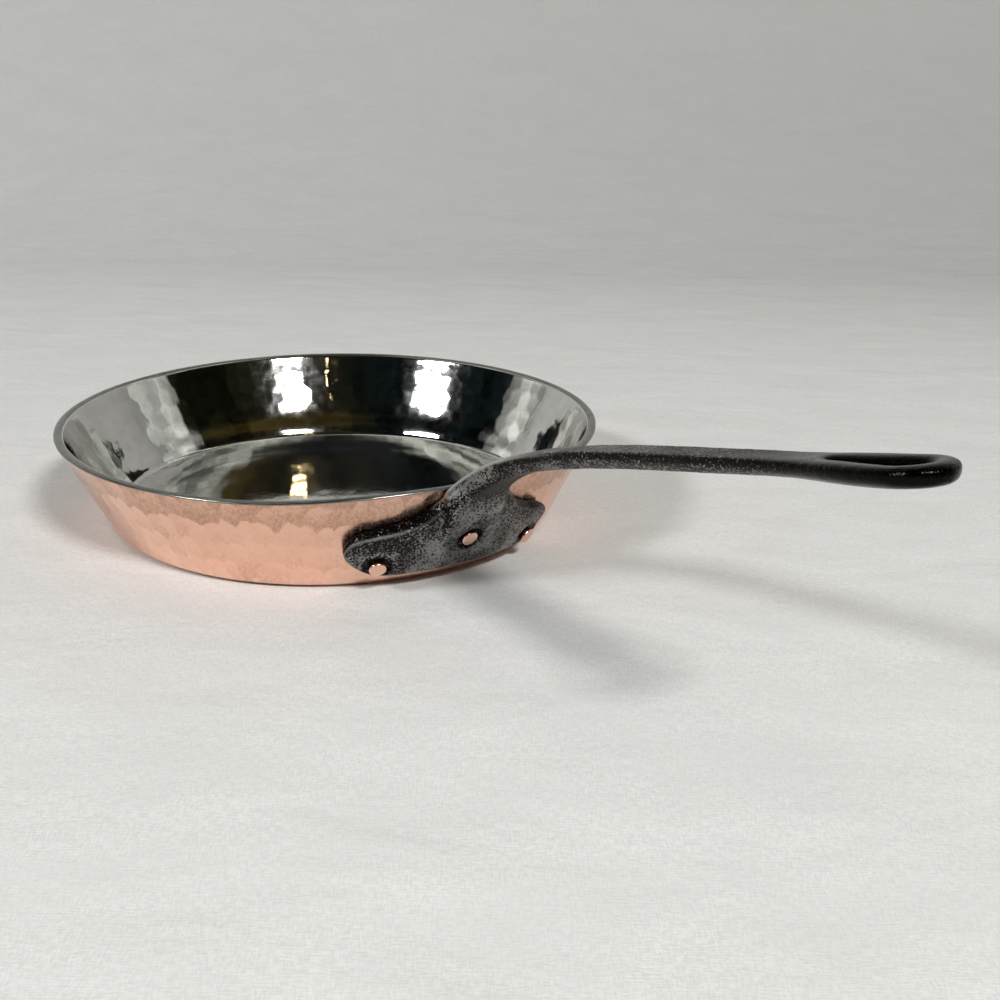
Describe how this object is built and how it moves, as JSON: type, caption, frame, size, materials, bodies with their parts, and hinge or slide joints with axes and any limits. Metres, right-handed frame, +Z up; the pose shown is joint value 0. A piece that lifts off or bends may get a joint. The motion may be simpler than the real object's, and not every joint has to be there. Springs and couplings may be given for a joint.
{
  "type": "copper frying pan",
  "caption": "Shallow round frying pan of hammered copper with straight flared sides, a tinned inside and a long riveted cast-iron handle that ends in a hanging loop.",
  "frame": {"origin": "centre of the pan's flat underside", "axes": "+X from the pan's centre out along the handle, +Z up out of the pan; left and right are as seen by someone who holds the handle"},
  "size_m": [0.5212, 0.28, 0.1284],
  "materials": {
    "copper": "hammered and polished copper",
    "tin": "bright wiped tin with hammer marks",
    "iron": "cast iron, ground bright on its faces and dark in its hollows"
  },
  "bodies": {
    "root": {"copper_body": "copper", "tin_lining": "tin", "handle": "iron", "rivet_center": "copper", "rivet_left": "copper", "rivet_right": "copper"}
  },
  "joints": []
}
